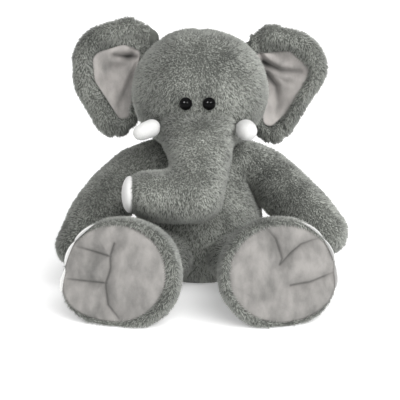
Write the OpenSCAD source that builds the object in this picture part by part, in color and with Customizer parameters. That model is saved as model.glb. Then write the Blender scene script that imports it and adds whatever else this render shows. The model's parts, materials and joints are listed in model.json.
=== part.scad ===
/* [Torso] */
// Radius of the belly, the widest stretch of the torso
belly_r = 64; // [60:1:66]
// Height of the belly's centre above the seat
belly_z = 56; // [54:1:58]
// Radius of the chest dome
chest_r = 43; // [41:1:45]
// Height of the chest dome's centre above the seat, where the neck turns
chest_z = 105; // [102:1:108]

/* [Head] */
// Width of the head between the ears
head_w = 134; // [130:1:136]
// Height of the head, and its depth from face to nape
head_h = 120; // [118:1:122]
// Height of the head's centre above the neck's pivot
head_up = 82; // [80:1:84]
// How far the head's centre sits in front of the torso's axis
head_fore = 4; // [2:1:6]
// Distance between the centres of the eyes
eye_gap = 22; // [20:1:26]
// Diameter of an eye
eye_d = 12; // [10:1:13]
// Radius of a tusk at its middle
tusk_r = 8; // [7:0.5:8.5]
// Length of a tusk between the centres of its round ends
tusk_l = 15; // [12:1:18]

/* [Ears] */
// Thickness of an ear's padded rim
ear_rim = 16; // [14:1:18]
// Width of the plush border that frames the lining
ear_border = 15; // [13:1:16]

/* [Trunk] */
// Radius of the trunk where it joins the face
trunk_root_r = 33; // [31:1:34]
// Radius of the trunk at its bend
trunk_bend_r = 27; // [26:1:28]
// Radius of the trunk at its end
trunk_end_r = 24; // [22:1:25]
// Length from the bend's centre to the flat end of the trunk
trunk_end_l = 66; // [60:1:68]

/* [Arms and legs] */
// Radius of an arm at the shoulder
shoulder_r = 23; // [21:1:24]
// Radius of an arm at the hand
hand_r = 25; // [23:1:26]
// Radius of a leg
leg_r = 26; // [24:1:27]
// Largest radius of a foot
foot_r = 53; // [51:1:54]
// Thickness of a foot from its sole to its heel seam
foot_d = 44; // [42:1:46]
// Radius of the sole panel
sole_r = 46; // [44:1:47]
// Angle by which the soles face outwards
foot_yaw = 13; // [10:1:15]
// Angle by which the soles face upwards
foot_pitch = 12; // [8:1:14]

/* [Tail] */
// Radius of the tail at the back seam
tail_r = 7; // [6:0.5:8]
// Length of the tail before its tuft
tail_l = 34; // [28:1:38]

/* [Fabric] */
// Thickness of the plush with its pile pressed flat
plush = 3; // [2.5:0.5:3.5]
// Thickness of the satin and felt panels
panel = 1.5; // [1.2:0.1:1.8]

/* [Hidden] */
$fn = 64;
// Play between pieces of one body, and between bodies that move on each other
lay = 0.2;
gap = 0.6;
// How far a cutter reaches past the face it opens
over = 1;

// Pivots, for the side at -X where a piece has a twin
neck = [0, 0, chest_z];
head_c = [0, -head_fore, chest_z + head_up];
neck_cut = 24;
ear_pivot = [-67, 15, 193];
trunk_top = [0, -64, 147];
trunk_bend = [-3, -95, 107];
trunk_curl_max = 15;
shoulder = [-69, 0, 112];
hand = [-119, -45, 54];
hip = [-40, -67, 33];
sole_c = [-75, -154, 46];
tail_root = [0, belly_r - 1, 34];
tail_dir = [0, 1, -0.35];

plush_grey = "#7d807c";
satin_grey = "#b9b5b1";
felt_white = "#f4f3ef";
fibre_white = "#e9e6df";

// Points along an arc about (0, z), from angle a1 to angle a2
function arc(z, r, a1, a2, n = 8) =
    [for (i = [0:n]) let (a = a1 + (a2 - a1) * i / n) [r * cos(a), z + r * sin(a)]];

// Angle at which a straight side touches two round ends a length apart
function touch(r1, r2, len) = asin((r1 - r2) / len);

// Turns what stands along +Z so that it points along v
module along(v) {
    rotate([0, acos(v[2] / norm(v)), atan2(v[1], v[0])]) children();
}

// The other side's twin
module side(s) {
    if (s > 0) mirror([1, 0, 0]) children();
    else children();
}

// A round-ended tube that tapers from one radius to another along +Z
module stuffed_tube(r1, r2, len) {
    t = touch(r1, r2, len);
    rotate_extrude() polygon(concat(
        [[0, -r1]],
        [for (p = arc(0, r1, -90, t)) if (p[0] > 0.01) p],
        [for (p = arc(len, r2, t, 90)) if (p[0] > 0.01) p],
        [[0, len + r2]]
    ));
}

module tube_between(a, b, r1, r2) {
    translate(a) along(b - a) stuffed_tube(r1, r2, norm(b - a));
}

// Flat seat of the torso, how far the belly flares beyond it, and the cover's turned-in edge
seat_r = 40;
seat_flare = 8;
seat_edge = 4;

// The pear-shaped torso drawn in by a thickness, standing on its flat seat
module pear(inset) {
    r1 = belly_r - inset;
    r2 = chest_r - inset;
    t = touch(r1, r2, chest_z - belly_z);
    low = -acos((seat_r + seat_flare) / belly_r);
    rotate_extrude() polygon(concat(
        [[0, inset], [seat_r - inset / 2, inset]],
        arc(belly_z, r1, low, t),
        [for (p = arc(chest_z, r2, t, 90)) if (p[0] > 0.01 && p[1] < chest_z + neck_cut - inset) p],
        [[sqrt(pow(r2, 2) - pow(neck_cut - inset, 2)), chest_z + neck_cut - inset]],
        [[0, chest_z + neck_cut - inset]]
    ));
}

// Hollows in the torso where the limbs and the tail are sewn on
module limb_hollows(play) {
    for (s = [-1, 1]) side(s) {
        translate(shoulder) sphere(shoulder_r + play);
        translate(hip) sphere(leg_r + play);
    }
    translate(tail_root) sphere(tail_r + play);
}

// Height, radius and thickness of the pellet bag in the seat
bag_z = 22;
bag_r = 34;
bag_h = 22;

module torso_cover() {
    color(plush_grey) difference() {
        pear(0);
        pear(plush);
        limb_hollows(gap);
        translate([0, 0, -over]) cylinder(r = seat_r - seat_edge, h = plush + 2 * over);
    }
}

module seat_panel() {
    color(plush_grey) cylinder(r = seat_r - seat_edge - lay, h = plush - lay);
}

module torso_stuffing() {
    color(fibre_white) difference() {
        pear(plush + lay);
        limb_hollows(gap);
        translate([0, 0, bag_z]) pellets(lay);
    }
}

// A low round bag with soft edges
module pellets(grow) {
    rotate_extrude() {
        polygon(concat(
            [[0, -bag_h / 2 - grow]],
            [for (p = arc(0, bag_h / 2 + grow, -90, 90)) p + [bag_r - bag_h / 2, 0]],
            [[0, bag_h / 2 + grow]]
        ));
    }
}

module pellet_bag() {
    color("#cfc9ba") translate([0, 0, bag_z]) pellets(0);
}

// The firm wad under the head: a flat foot that turns, and a dome that nods
module neck_stuffing() {
    base = neck_cut + gap;
    color(fibre_white) translate(neck) rotate_extrude() polygon(concat(
        [[0, base]],
        arc(0, chest_r, asin(base / chest_r), 88),
        [[0, chest_r]]
    ));
}

module head_shape(inset) {
    a = head_h / 2 - inset;
    b = head_w / 2 - inset;
    translate(head_c) rotate([0, 90, 0]) rotate_extrude() polygon(
        [for (i = [-9:9]) [abs(i) == 9 ? 0 : a * cos(i * 10), b * sin(i * 10)]]
    );
}

// Height of the eyes above the seat
eye_z = 186;
function face_y(x, z, inset) = head_c[1] - (head_h / 2 - inset) * sqrt(
    1 - pow(x / (head_w / 2 - inset), 2) - pow((z - head_c[2]) / (head_h / 2 - inset), 2));
eye_seat = [-eye_gap / 2, face_y(eye_gap / 2 - eye_d / 2, eye_z, 0) - gap, eye_z];
eye_stem_r = 2.5;
eye_stem_l = 13;
// Radius and thickness of an eye's washer, and its distance behind the cover
washer_r = 6.5;
washer_t = 2;
washer_in = 3;

module eye_stem(grow) {
    translate(eye_seat) rotate([-90, 0, 0]) cylinder(r = eye_stem_r + grow, h = eye_stem_l);
}

module washer_place(grow) {
    translate(eye_seat + [0, plush + washer_in - grow, 0]) rotate([-90, 0, 0])
        cylinder(r = washer_r + grow, h = washer_t + 2 * grow);
}

module head_cover() {
    color(plush_grey) difference() {
        head_shape(0);
        head_shape(plush);
        head_hollows();
    }
}

module head_stuffing() {
    color(fibre_white) difference() {
        head_shape(plush + lay);
        head_hollows();
        for (s = [-1, 1]) side(s) washer_place(2 * lay);
    }
}

// Hollows for the neck, the trunk, the ears and the eyes' stems
module head_hollows() {
    translate(neck) sphere(chest_r + gap);
    translate(trunk_top) sphere(trunk_root_r + gap);
    for (s = [-1, 1]) side(s) {
        eye_stem(lay);
    }
}

module eye(s) {
    color("#0b0b0b") side(s) {
        translate(eye_seat) rotate([90, 0, 0]) rotate_extrude() polygon(concat(
            [[0, lay]], [for (p = arc(lay, eye_d / 2, 0, 84)) [p[0], p[1]]],
            [[0, lay + eye_d / 2]]
        ));
        eye_stem(0);
    }
}

module eye_washer(s) {
    color("#d8d8d4") side(s) difference() {
        washer_place(0);
        eye_stem(lay);
    }
}

// Where a tusk starts, how much slimmer it is there, and the way each one points
tusk_base = [-44, -55, 163];
tusk_taper = 1;
tusk_out = [-1, -0.55, -0.45];
tusk_fore = [-0.55, -1, -0.35];
function tusk_dir(s) = s < 0 ? tusk_out : tusk_fore;

module tusk_cover(s) {
    color(felt_white) side(s) difference() {
        translate(tusk_base) along(tusk_dir(s)) stuffed_tube(tusk_r - tusk_taper, tusk_r, tusk_l);
        translate(tusk_base) along(tusk_dir(s))
            stuffed_tube(tusk_r - tusk_taper - panel, tusk_r - panel, tusk_l);
    }
}

module tusk_stuffing(s) {
    inset = panel + lay;
    color(fibre_white) side(s) translate(tusk_base) along(tusk_dir(s))
        stuffed_tube(tusk_r - tusk_taper - inset, tusk_r - inset, tusk_l);
}

// Round corners of an ear's outline in its own plane: place along X, place along Z, radius
ear_corners = [[-87, 214, 38], [-85, 156, 19], [-60, 235, 13], [-73, 168, 9]];

module ear_outline(inset) {
    hull() for (c = ear_corners) translate([c[0], c[1]])
        circle(r = max(c[2] - inset, 1), $fn = 32);
}

// Thick plate in the ear's plane, from y1 in front to y2 behind
module ear_plate(inset, y1, y2) {
    translate([0, y2, 0]) rotate([90, 0, 0]) linear_extrude(y2 - y1) ear_outline(inset);
}

module ear_body() {
    e = ear_rim / 2;
    hull() for (c = ear_corners) translate([c[0], ear_pivot[1], c[1]]) rotate([90, 0, 0])
        rotate_extrude($fn = 32) translate([max(c[2] - e, 0.5), 0]) intersection() {
            circle(r = e, $fn = 24);
            translate([0, -e]) square([e, 2 * e]);
        }
}

// Depth of the lining below the rim, thickness of the back, and room between ear and head
dish = 4.5;
back_wall = 3;
ear_room = 4.5;

module ear_back(s) {
    front = ear_pivot[1] - ear_rim / 2;
    rear = ear_pivot[1] + ear_rim / 2;
    color(plush_grey) side(s) difference() {
        ear_body();
        ear_plate(ear_border, front - over, rear - back_wall);
        head_shape(-ear_room);
    }
}

module ear_lining(s) {
    front = ear_pivot[1] - ear_rim / 2;
    color(satin_grey) side(s) ear_plate(ear_border + lay, front + dish, front + dish + panel);
}

module ear_padding(s) {
    front = ear_pivot[1] - ear_rim / 2 + dish + panel + lay;
    rear = ear_pivot[1] + ear_rim / 2 - back_wall - lay;
    color(fibre_white) side(s) ear_plate(ear_border + lay, front, rear);
}

// The way the trunk's end points, and how much fuller the part above it is at the bend
end_dir = [-1, -0.04, 0.02];
bend_over = 1;

module trunk_end_shape(inset) {
    difference() {
        translate(trunk_bend) along(end_dir)
            stuffed_tube(trunk_bend_r - inset, trunk_end_r - inset, trunk_end_l);
        translate(trunk_bend) along(end_dir)
            translate([0, 0, trunk_end_l - inset]) cylinder(r = trunk_bend_r + over, h = trunk_bend_r);
    }
}

// Space that the trunk's end sweeps as it curls, cut from the part above it
module curl_room() {
    half = trunk_curl_max / 2;
    translate(trunk_bend) rotate([0, half, 0]) along(end_dir) stuffed_tube(
        trunk_bend_r + gap, trunk_end_r + gap + trunk_end_l * sin(half), trunk_end_l);
}

module trunk_root_cover() {
    color(plush_grey) difference() {
        tube_between(trunk_top, trunk_bend, trunk_root_r, trunk_bend_r + bend_over);
        tube_between(trunk_top, trunk_bend, trunk_root_r - plush, trunk_bend_r + bend_over - plush);
        curl_room();
    }
}

module trunk_root_stuffing() {
    inset = plush + lay;
    color(fibre_white) difference() {
        tube_between(trunk_top, trunk_bend, trunk_root_r - inset, trunk_bend_r + bend_over - inset);
        curl_room();
    }
}

module trunk_end_cover() {
    color(plush_grey) difference() {
        trunk_end_shape(0);
        trunk_end_shape(plush);
        translate(trunk_bend) along(end_dir)
            translate([0, 0, trunk_end_l - plush - over])
                cylinder(r = trunk_end_r - plush, h = plush + 2 * over);
    }
}

module trunk_end_stuffing() {
    color(fibre_white) trunk_end_shape(plush + lay);
}

// Shallow felt dome sewn over the trunk's end
module trunk_end_disc() {
    r = trunk_end_r - panel;
    bulge = 6;
    ball_r = (r * r + bulge * bulge) / (2 * bulge);
    color(felt_white) translate(trunk_bend) along(end_dir) translate([0, 0, trunk_end_l + lay])
        rotate_extrude() polygon(concat(
            [[0, 0]],
            [for (i = [0:6]) let (a = 90 - i * 15) [r * sin(a),
                sqrt(pow(ball_r, 2) - pow(r * sin(a), 2)) - ball_r + bulge]]
        ));
}

module arm_cover(s) {
    color(plush_grey) side(s) difference() {
        tube_between(shoulder, hand, shoulder_r, hand_r);
        tube_between(shoulder, hand, shoulder_r - plush, hand_r - plush);
    }
}

module arm_stuffing(s) {
    inset = plush + lay;
    color(fibre_white) side(s) tube_between(shoulder, hand, shoulder_r - inset, hand_r - inset);
}

sole_dir = [
    -sin(foot_yaw) * cos(foot_pitch), -cos(foot_yaw) * cos(foot_pitch), sin(foot_pitch)
];
// Distance of the ankle behind the heel seam, and radius of the flat heel
ankle_off = 9;
ankle = sole_c - (foot_d + ankle_off) * sole_dir;
heel_r = 30;
// How much slimmer a leg is at its ankle
leg_taper = 1;

module leg_cover(s) {
    color(plush_grey) side(s) difference() {
        tube_between(hip, ankle, leg_r, leg_r - leg_taper);
        tube_between(hip, ankle, leg_r - plush, leg_r - leg_taper - plush);
    }
}

module leg_stuffing(s) {
    inset = plush + lay;
    color(fibre_white) side(s) tube_between(hip, ankle, leg_r - inset, leg_r - leg_taper - inset);
}

// A foot about its own axis, with the sole at the top, drawn in by a thickness: a rounded edge
// round the sole, a straight belt behind it, then the curve to the heel
module foot_profile(inset) {
    edge = 9;
    belt = 8;
    full = foot_d - edge - belt;
    r = foot_r - inset;
    rotate_extrude() polygon(concat(
        [[0, inset - foot_d], [heel_r - inset, inset - foot_d]],
        [for (a = [-75:15:0]) [heel_r + (foot_r - heel_r) * cos(a) - inset,
            -foot_d + full + (full - inset) * sin(a)]],
        [for (a = [0:15:75]) [r - edge + edge * cos(a), -edge + (edge - inset) * sin(a)]],
        [[sole_r, -inset], [0, -inset]]
    ));
}

// The foot rests flat on what it stands on
module foot_shape(inset) {
    room = 4 * foot_r;
    intersection() {
        translate(sole_c) along(sole_dir) foot_profile(inset);
        translate([sole_c[0] - room / 2, sole_c[1] - room / 2, inset]) cube(room);
    }
}

module foot_hollows() {
    translate(ankle) sphere(leg_r - leg_taper + gap);
}

module foot_cover(s) {
    color(plush_grey) side(s) difference() {
        foot_shape(0);
        foot_shape(plush);
        foot_hollows();
        translate(sole_c) along(sole_dir) translate([0, 0, -plush - over])
            cylinder(r = sole_r, h = plush + 2 * over);
    }
}

module foot_stuffing(s) {
    color(fibre_white) side(s) difference() {
        foot_shape(plush + lay);
        foot_hollows();
    }
}

module sole_panel(s) {
    color(satin_grey) side(s) translate(sole_c) along(sole_dir)
        translate([0, 0, -plush]) cylinder(r = sole_r - lay, h = plush);
}

// Felt nails on the outer side of a foot: their places round it, radius, thickness and
// distance behind the sole
nail_turns = [-132, -102, -72];
nail_w = 11;
nail_t = 1.4;
nail_back = 14;

module toenails(s) {
    color(felt_white) side(s) translate(sole_c) along(sole_dir)
        for (a = nail_turns) rotate([0, 0, a]) intersection() {
            translate([0, 0, -nail_back - nail_w]) difference() {
                cylinder(r = foot_r + nail_t + lay, h = 2 * nail_w);
                translate([0, 0, -over]) cylinder(r = foot_r + lay, h = 2 * (nail_w + over));
            }
            translate([0, 0, -nail_back]) rotate([0, 90, 0]) cylinder(r = nail_w, h = foot_r + nail_w);
        }
}

// How much slimmer the tail is at its tuft, and half the tuft's outline
tail_taper = 2;
tuft_outline = [[0, 0], [4, 0], [8, 6], [8.5, 11], [6.5, 17], [3, 22], [0, 23]];

module tail_cover() {
    color(plush_grey) translate(tail_root) along(tail_dir)
        stuffed_tube(tail_r, tail_r - tail_taper, tail_l);
}

module tail_tuft() {
    color(plush_grey) translate(tail_root) along(tail_dir)
        translate([0, 0, tail_l + tail_r - tail_taper + lay]) rotate_extrude() polygon(tuft_outline);
}

torso_cover();
torso_stuffing();
pellet_bag();
seat_panel();
neck_stuffing();
head_cover();
head_stuffing();
eye(-1);  // left_eye
eye(1);  // right_eye
eye_washer(-1);  // left_eye_washer
eye_washer(1);  // right_eye_washer
tusk_cover(-1);  // left_tusk_cover
tusk_cover(1);  // right_tusk_cover
tusk_stuffing(-1);  // left_tusk_stuffing
tusk_stuffing(1);  // right_tusk_stuffing
ear_back(-1);  // left_ear_back
ear_back(1);  // right_ear_back
ear_lining(-1);  // left_ear_lining
ear_lining(1);  // right_ear_lining
ear_padding(-1);  // left_ear_padding
ear_padding(1);  // right_ear_padding
trunk_root_cover();
trunk_root_stuffing();
trunk_end_cover();
trunk_end_stuffing();
trunk_end_disc();
arm_cover(-1);  // left_arm_cover
arm_cover(1);  // right_arm_cover
arm_stuffing(-1);  // left_arm_stuffing
arm_stuffing(1);  // right_arm_stuffing
leg_cover(-1);  // left_leg_cover
leg_cover(1);  // right_leg_cover
leg_stuffing(-1);  // left_leg_stuffing
leg_stuffing(1);  // right_leg_stuffing
foot_cover(-1);  // left_foot_cover
foot_cover(1);  // right_foot_cover
foot_stuffing(-1);  // left_foot_stuffing
foot_stuffing(1);  // right_foot_stuffing
sole_panel(-1);  // left_sole_panel
sole_panel(1);  // right_sole_panel
toenails(-1);  // left_toenails
toenails(1);  // right_toenails
tail_cover();
tail_tuft();
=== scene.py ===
import json
import math

import bmesh
import bpy
import numpy as np
from mathutils import Matrix, Vector, geometry, noise


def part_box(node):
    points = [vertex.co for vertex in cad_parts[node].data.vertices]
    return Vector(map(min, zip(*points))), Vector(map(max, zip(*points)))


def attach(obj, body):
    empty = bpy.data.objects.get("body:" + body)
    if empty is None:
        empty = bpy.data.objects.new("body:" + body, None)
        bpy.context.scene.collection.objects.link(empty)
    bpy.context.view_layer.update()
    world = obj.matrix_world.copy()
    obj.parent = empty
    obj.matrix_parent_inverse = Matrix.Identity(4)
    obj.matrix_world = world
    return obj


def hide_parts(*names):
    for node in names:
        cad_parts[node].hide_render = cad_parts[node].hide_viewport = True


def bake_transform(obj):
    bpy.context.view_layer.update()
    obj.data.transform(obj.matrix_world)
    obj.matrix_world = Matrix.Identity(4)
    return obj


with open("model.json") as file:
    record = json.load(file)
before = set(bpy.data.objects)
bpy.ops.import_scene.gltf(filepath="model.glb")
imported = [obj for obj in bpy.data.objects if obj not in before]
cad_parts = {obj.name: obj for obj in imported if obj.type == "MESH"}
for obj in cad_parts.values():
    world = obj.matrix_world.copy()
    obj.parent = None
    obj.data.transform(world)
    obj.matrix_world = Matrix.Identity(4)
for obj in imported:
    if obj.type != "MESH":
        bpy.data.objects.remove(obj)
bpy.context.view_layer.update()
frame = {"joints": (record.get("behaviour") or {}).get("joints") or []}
scene = bpy.context.scene
jointPlaces = {joint["name"]: Vector(joint["pos_m"]) for joint in frame["joints"]}
sides = (("left", -1), ("right", 1))  # left is at -X, as seen from the front


# camera and studio
studio = {
    "cameraAt": (0, -1.3523, 0.4382),
    "cameraPitch": 75,
    "lens": 126,
    "paper": (0.95, 0.95, 0.95),
    "sky": 0.58,
    "paperGlow": 0.3,
    "sun": {"power": 3.5, "softness": 58, "direction": (-0.55, 0.85, -0.72)},
    "eyeLights": {
        "catchLeft": {"power": 50, "size": 0.2, "at": (-0.46, -0.80, 0.80)},
        "catchRight": {"power": 34, "size": 0.17, "at": (0.55, -0.80, 0.80)},
    },
    "eyesAt": (0, -0.06, 0.186),
}


def placeCamera():
    data = bpy.data.cameras.new("camera")
    data.lens = studio["lens"]
    camera = bpy.data.objects.new("camera", data)
    camera.location = studio["cameraAt"]
    camera.rotation_euler = (math.radians(studio["cameraPitch"]), 0, 0)
    scene.collection.objects.link(camera)
    scene.camera = camera


def placeSun(name, power, softness, direction):
    data = bpy.data.lights.new(name, "SUN")
    data.energy = power
    data.angle = math.radians(softness)
    sun = bpy.data.objects.new(name, data)
    sun.visible_glossy = False
    sun.rotation_euler = Vector(direction).to_track_quat("-Z", "Y").to_euler()
    scene.collection.objects.link(sun)


shinyPieces = bpy.data.collections.new("shiny pieces")


def placeSoftbox(name, power, size, at):
    data = bpy.data.lights.new(name, "AREA")
    data.energy = power
    data.size = size
    box = bpy.data.objects.new(name, data)
    box.light_linking.receiver_collection = shinyPieces  # it only shows as a reflection in the eyes
    box.location = at
    box.rotation_euler = (Vector(studio["eyesAt"]) - Vector(at)).to_track_quat("-Z", "Y").to_euler()
    scene.collection.objects.link(box)


def buildStudio():
    scene.view_settings.view_transform = "Standard"
    world = bpy.data.worlds.new("studio")
    world.use_nodes = True
    world.node_tree.nodes["Background"].inputs["Color"].default_value = (1, 1, 1, 1)
    world.node_tree.nodes["Background"].inputs["Strength"].default_value = studio["sky"]
    scene.world = world
    placeCamera()
    placeSun("key", **studio["sun"])
    for name, light in studio["eyeLights"].items():
        placeSoftbox(name, **light)
    bm = bmesh.new()
    bmesh.ops.create_grid(bm, x_segments=4, y_segments=4, size=9)
    floor = newPiece("paper_floor", bm)
    paper = bpy.data.materials.new("paper")
    paper.use_nodes = True
    shader = paper.node_tree.nodes["Principled BSDF"]
    shader.inputs["Base Color"].default_value = (*studio["paper"], 1)
    shader.inputs["Roughness"].default_value = 0.9
    shader.inputs["Emission Color"].default_value = (1, 1, 1, 1)
    shader.inputs["Emission Strength"].default_value = studio["paperGlow"]
    floor.data.materials.append(paper)


# helpers for every piece
def newPiece(name, bm):
    mesh = bpy.data.meshes.new(name)
    bm.to_mesh(mesh)
    bm.free()
    piece = bpy.data.objects.new(name, mesh)
    scene.collection.objects.link(piece)
    return piece


def middleOf(node):
    low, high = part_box(node)
    return (low + high) / 2


def shadeSmooth(piece):
    for face in piece.data.polygons:
        face.use_smooth = True


def settle(piece):
    # what the modifiers make becomes the mesh
    shaped = bpy.data.meshes.new_from_object(piece.evaluated_get(bpy.context.evaluated_depsgraph_get()))
    piece.modifiers.clear()
    piece.data = shaped


def pointsOf(mesh):
    points = np.zeros(len(mesh.vertices) * 3, np.float32)
    mesh.vertices.foreach_get("co", points)
    return points.reshape(-1, 3).astype(float)


def normalsOf(mesh):
    normals = np.zeros(len(mesh.vertices) * 3, np.float32)
    mesh.vertices.foreach_get("normal", normals)
    return normals.reshape(-1, 3).astype(float)


def setPoints(mesh, points):
    mesh.vertices.foreach_set("co", points.astype(np.float32).ravel())
    mesh.update()


def throughMatrix(points, matrix):
    table = np.array(matrix)
    return points @ table[:3, :3].T + table[:3, 3]


def unitRows(rows):
    return rows / np.maximum(np.linalg.norm(rows, axis=1, keepdims=True), 1e-12)


def softNoise(points, size, seed=0.0):
    # smooth noise from -1 to 1 at each point, with lumps about size across
    scaled = points / size + seed
    return np.array([noise.noise(p) for p in scaled.tolist()])


def wrapBalls(bm, balls):
    # one tight skin round all of these balls
    part = bmesh.new()
    for at, radius in balls:
        bmesh.ops.create_icosphere(part, subdivisions=3, radius=radius, matrix=Matrix.Translation(at))
    hull = bmesh.ops.convex_hull(part, input=part.verts)
    inner = {v for v in hull["geom_interior"] + hull["geom_unused"] if isinstance(v, bmesh.types.BMVert)}
    bmesh.ops.delete(part, geom=list(inner), context="VERTS")
    wrapped = bpy.data.meshes.new("wrapped")
    part.to_mesh(wrapped)
    part.free()
    bm.from_mesh(wrapped)
    bpy.data.meshes.remove(wrapped)


def chainBalls(bm, balls):
    # a limb: each ball is wrapped together with the next one
    for pair in zip(balls, balls[1:]):
        wrapBalls(bm, pair)


def meltTogether(piece, voxel, rounds):
    # one closed skin round everything in the piece, then smoothed
    skin = piece.modifiers.new("skin", "REMESH")
    skin.mode = "VOXEL"
    skin.voxel_size = voxel
    smooth = piece.modifiers.new("smooth", "SMOOTH")
    smooth.iterations = rounds
    settle(piece)


clothLook = {"mass": 0.25, "stiffness": 8, "bending": 0.3, "steps": 20}


def puff(piece, fabric, isSewn=None):
    # the stuffing pushes the cloth out, except where it is sewn down
    start = pointsOf(piece.data)
    cloth = piece.modifiers.new("puff", "CLOTH")
    cloth.settings.quality = 4
    cloth.settings.mass = clothLook["mass"]
    cloth.settings.tension_stiffness = clothLook["stiffness"]
    cloth.settings.compression_stiffness = clothLook["stiffness"]
    cloth.settings.bending_stiffness = clothLook["bending"]
    cloth.settings.use_pressure = True
    cloth.settings.uniform_pressure_force = fabric["pressure"]
    cloth.settings.effector_weights.gravity = 0
    cloth.collision_settings.use_collision = False
    if isSewn is not None:
        sewn = piece.vertex_groups.new(name="sewn")
        sewn.add(np.flatnonzero(isSewn(start)).tolist(), 1, "REPLACE")
        cloth.settings.vertex_group_mass = "sewn"
    cloth.point_cache.frame_end = clothLook["steps"] + 1
    for step in range(clothLook["steps"]):
        scene.frame_set(step + 1)
    moved = pointsOf(piece.evaluated_get(bpy.context.evaluated_depsgraph_get()).to_mesh())
    travel = moved - start
    far = np.linalg.norm(travel, axis=1, keepdims=True)
    travel *= np.minimum(1, fabric["reach"] / np.maximum(far, 1e-9))
    piece.modifiers.clear()
    piece.vertex_groups.clear()
    scene.frame_set(1)
    setPoints(piece.data, start + travel)


def subdivide(piece):
    finer = piece.modifiers.new("finer", "SUBSURF")
    finer.levels = 1
    finer.render_levels = 1
    settle(piece)


def thicken(piece, thickness):
    # a sheet of cloth gets its thickness behind the side that shows
    thick = piece.modifiers.new("thickness", "SOLIDIFY")
    thick.thickness = thickness
    thick.offset = -1
    settle(piece)
    shadeSmooth(piece)


def lump(piece, height, size, seed):
    # uneven stuffing under the cloth
    points = pointsOf(piece.data)
    rise = softNoise(points, size, seed) * height
    setPoints(piece.data, points + normalsOf(piece.data) * rise[:, None])


def distanceToLine(flat, line):
    # how far each point lies from a line through these corners
    nearest = np.full(len(flat), 1e9)
    for start, end in zip(line, line[1:]):
        a, b = np.array(start), np.array(end)
        t = np.clip((flat - a) @ (b - a) / ((b - a) @ (b - a)), 0, 1)
        nearest = np.minimum(nearest, np.linalg.norm(flat - a - t[:, None] * (b - a), axis=1))
    return nearest


def crease(piece, depth, width, distance):
    # a sewn line that pulls the cloth in, where distance(points) is small
    points = pointsOf(piece.data)
    pull = depth * np.exp(-((distance(points) / width) ** 2))
    setPoints(piece.data, points - normalsOf(piece.data) * pull[:, None])


def paintFoldShade(piece, values):
    # painted shade: 1 on open cloth, less down in a fold or a seam, where the satin is painted darker
    kept = np.clip(values, 0, 1).astype(np.float32)
    piece.data.attributes.new("fold", "FLOAT", "POINT").data.foreach_set("value", kept)


floorLook = {"gap": 0.0012, "bareBelow": 0.003}


def standOnFloor(piece):
    points = pointsOf(piece.data)
    points[:, 2] = np.maximum(points[:, 2], floorLook["gap"])
    setPoints(piece.data, points)


def roundGrid(name, cells):
    # a square grid drawn in to a disc: the piece, its points in the unit circle, how far out they lie
    bm = bmesh.new()
    bmesh.ops.create_grid(bm, x_segments=cells, y_segments=cells, size=1)
    piece = newPiece(name, bm)
    x, y = pointsOf(piece.data)[:, :2].T
    flat = np.stack([x * np.sqrt(1 - y * y / 2), y * np.sqrt(1 - x * x / 2)], axis=1)
    return piece, flat, np.linalg.norm(flat, axis=1)


# plush pile: small closed tufts, dark at the root as painted shade deep in the pile, and pale at the tip
pileKinds = {
    "tuft": {"spacing": 0.0009, "length": 0.0085, "width": 0.0012, "lean": 58, "swirl": 0.5},
    "body": {"spacing": 0.0011, "length": 0.0036, "width": 0.0011, "lean": 42, "swirl": 0.6},
}
# how uneven the pile is: sizes in metres, angles in degrees, the rest as shares
pileSpread = {
    "swirlSize": 0.016, "stray": 0.35, "leanStray": 12, "leanDrift": 9, "driftSize": 0.012,
    "lengths": (0.65, 1.15), "widths": (0.7, 1.3), "rootDepth": 0.0006, "shadeLean": 0.45, "shadeStray": 0.12,
}


def triangleTable(mesh):
    mesh.calc_loop_triangles()
    table = np.zeros(len(mesh.loop_triangles) * 3, np.int32)
    mesh.loop_triangles.foreach_get("vertices", table)
    return table.reshape(-1, 3)


def scatter(mesh, spacing, draw):
    points, normals, table = pointsOf(mesh), normalsOf(mesh), triangleTable(mesh)
    a, b, c = (points[table[:, k]] for k in range(3))
    area = np.linalg.norm(np.cross(b - a, c - a), axis=1) / 2
    count = int(area.sum() / spacing ** 2)
    pick = draw.choice(len(area), count, p=area / area.sum())
    u, v = draw.random((2, count, 1))
    u, v = np.where(u + v > 1, 1 - u, u), np.where(u + v > 1, 1 - v, v)
    at = a[pick] + u * (b - a)[pick] + v * (c - a)[pick]
    na, nb, nc = (normals[table[pick, k]] for k in range(3))
    return at, unitRows(na + u * (nb - na) + v * (nc - na))


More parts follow.
